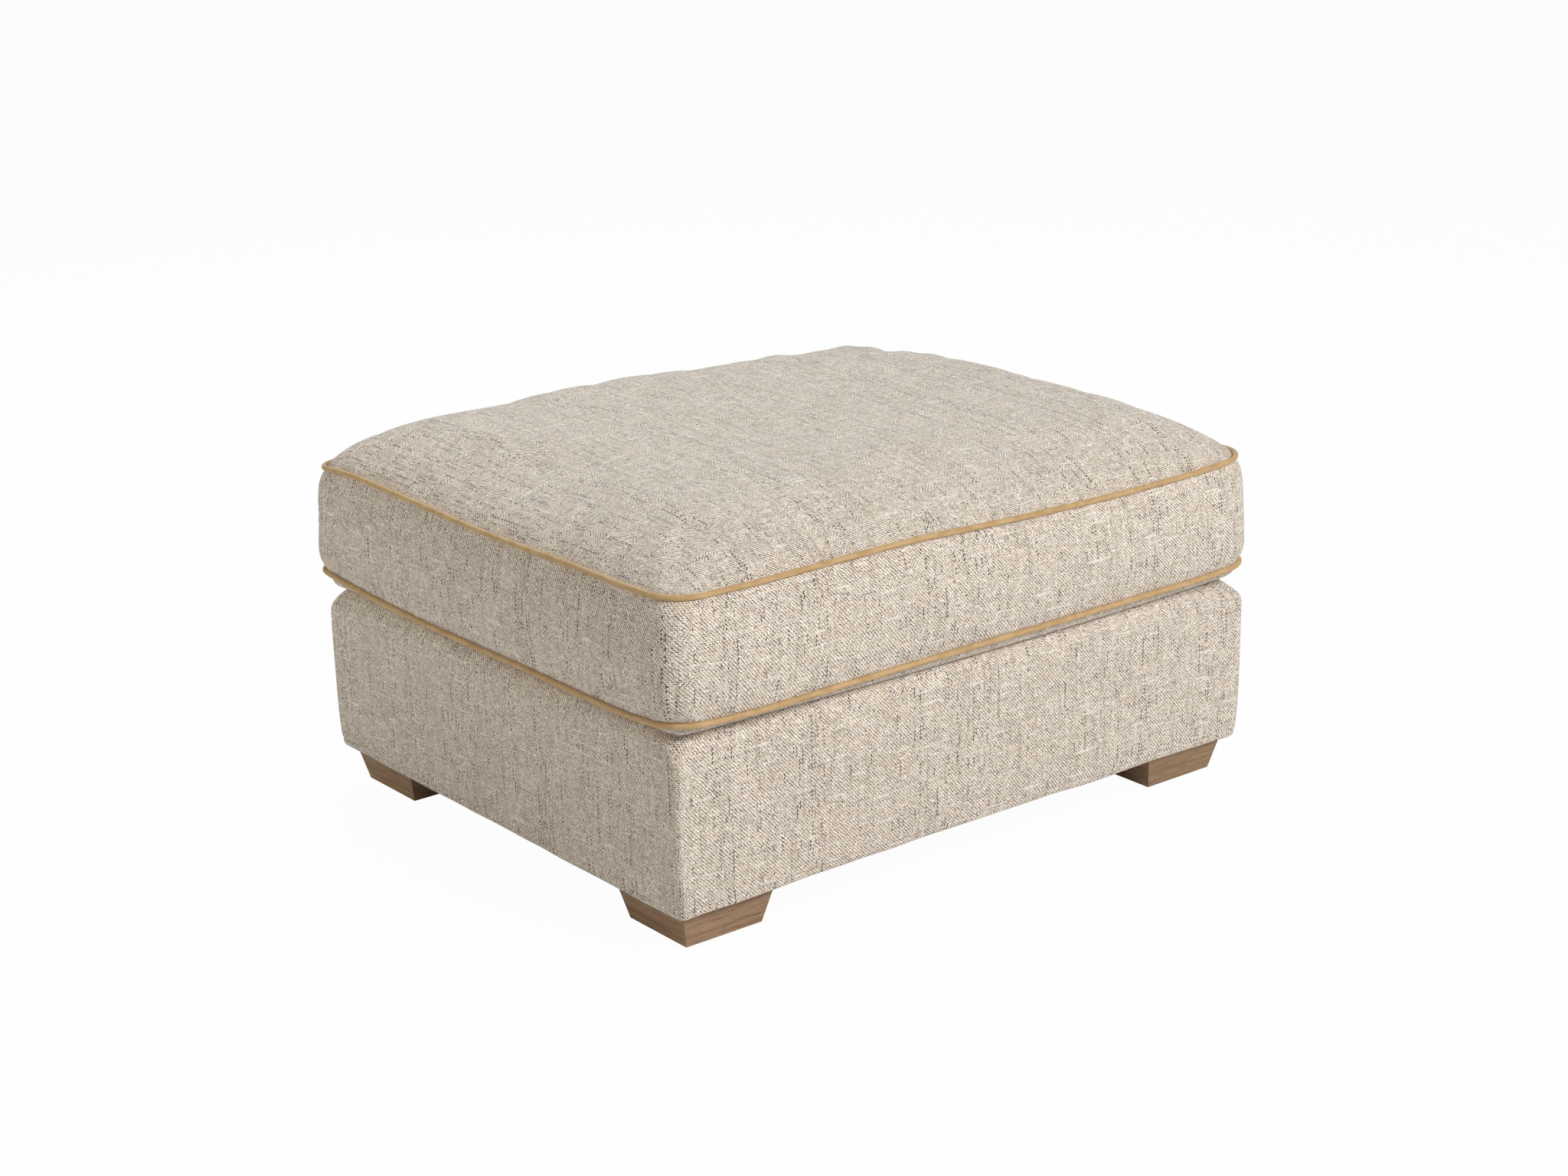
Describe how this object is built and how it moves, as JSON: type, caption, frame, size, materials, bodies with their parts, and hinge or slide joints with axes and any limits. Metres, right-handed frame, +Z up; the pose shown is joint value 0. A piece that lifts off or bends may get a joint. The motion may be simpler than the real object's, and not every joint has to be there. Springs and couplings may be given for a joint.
{
  "type": "upholstered ottoman",
  "caption": "Rectangular upholstered ottoman on short tapered wooden feet, with a loose, piped, crowned box cushion that overhangs the padded base.",
  "frame": {"origin": "on the floor, under the middle of the base", "axes": "+Z up, +X along the long side, the zip side of the cushion faces +Y"},
  "size_m": [0.9642, 0.8169, 0.5008],
  "materials": {
    "cover_fabric": "woven beige and cream upholstery cloth with dark flecks",
    "piping_cover": "smooth tan piping",
    "foot_oak": "weathered oak, oiled",
    "frame_timber": "sawn softwood",
    "board": "thin hardboard",
    "ply_block": "plywood",
    "webbing": "woven elastic webbing",
    "wadding": "polyester wadding",
    "pad_foam": "upholstery foam",
    "lining": "plain woven lining",
    "dust_cloth": "black non-woven cloth",
    "staple_steel": "galvanised wire",
    "bolt_steel": "zinc plated",
    "glide_plastic": "moulded nylon",
    "cord_filler": "braided cotton cord",
    "zip_cloth": "woven zip tape",
    "zip_nylon": "nylon coil",
    "zip_metal": "nickel plated die casting"
  },
  "bodies": {
    "root": {"base_cover_back": "cover_fabric", "base_cover_front": "cover_fabric", "base_cover_left": "cover_fabric", "base_cover_right": "cover_fabric", "bottom_rail_back": "frame_timber", "bottom_rail_front": "frame_timber", "bottom_rail_left": "frame_timber", "bottom_rail_right": "frame_timber", "corner_block_screws": "bolt_steel", "corner_blocks": "ply_block", "corner_post_back_left": "frame_timber", "corner_post_back_right": "frame_timber", "corner_post_front_left": "frame_timber", "corner_post_front_right": "frame_timber", "dust_cover": "dust_cloth", "dust_cover_staples": "staple_steel", "foot_back_left": "foot_oak", "foot_back_right": "foot_oak", "foot_bolts": "bolt_steel", "foot_front_left": "foot_oak", "foot_front_right": "foot_oak", "foot_glides": "glide_plastic", "foot_tee_nuts": "bolt_steel", "platform_cloth": "lining", "platform_pad": "pad_foam", "side_board_back": "board", "side_board_front": "board", "side_board_left": "board", "side_board_right": "board", "side_padding_back": "wadding", "side_padding_front": "wadding", "side_padding_left": "wadding", "side_padding_right": "wadding", "spreader_rail": "frame_timber", "top_rail_back": "frame_timber", "top_rail_front": "frame_timber", "top_rail_left": "frame_timber", "top_rail_right": "frame_timber", "webbing_crosswise": "webbing", "webbing_lengthwise": "webbing"},
    "cushion": {"cushion_top_panel": "cover_fabric", "cushion_bottom_panel": "cover_fabric", "boxing_front": "cover_fabric", "boxing_left": "cover_fabric", "boxing_right": "cover_fabric", "boxing_back_upper": "cover_fabric", "boxing_back_lower": "cover_fabric", "piping_top": "piping_cover", "piping_bottom": "piping_cover", "piping_top_cord": "cord_filler", "piping_bottom_cord": "cord_filler", "foam_core": "pad_foam", "fibre_wrap": "wadding", "zip_tape": "zip_cloth", "zip_teeth": "zip_nylon", "zip_stops": "zip_metal"},
    "zip_slider": {"zip_slider": "zip_metal"},
    "zip_pull": {"zip_pull": "zip_metal"}
  },
  "joints": [
    {"name": "cushion_lift", "type": "slide", "parent": "root", "child": "cushion", "axis": [0, 0, 1], "range_m": [0, 0.3]},
    {"name": "zip_open", "type": "slide", "parent": "cushion", "child": "zip_slider", "axis": [-1, 0, 0], "range_m": [0, 0.547]},
    {"name": "zip_pull_swing", "type": "hinge", "parent": "zip_slider", "child": "zip_pull", "pos_m": [0.2735, 0.4072, 0.3718], "axis": [1, 0, 0], "range_deg": [0, 175]}
  ]
}
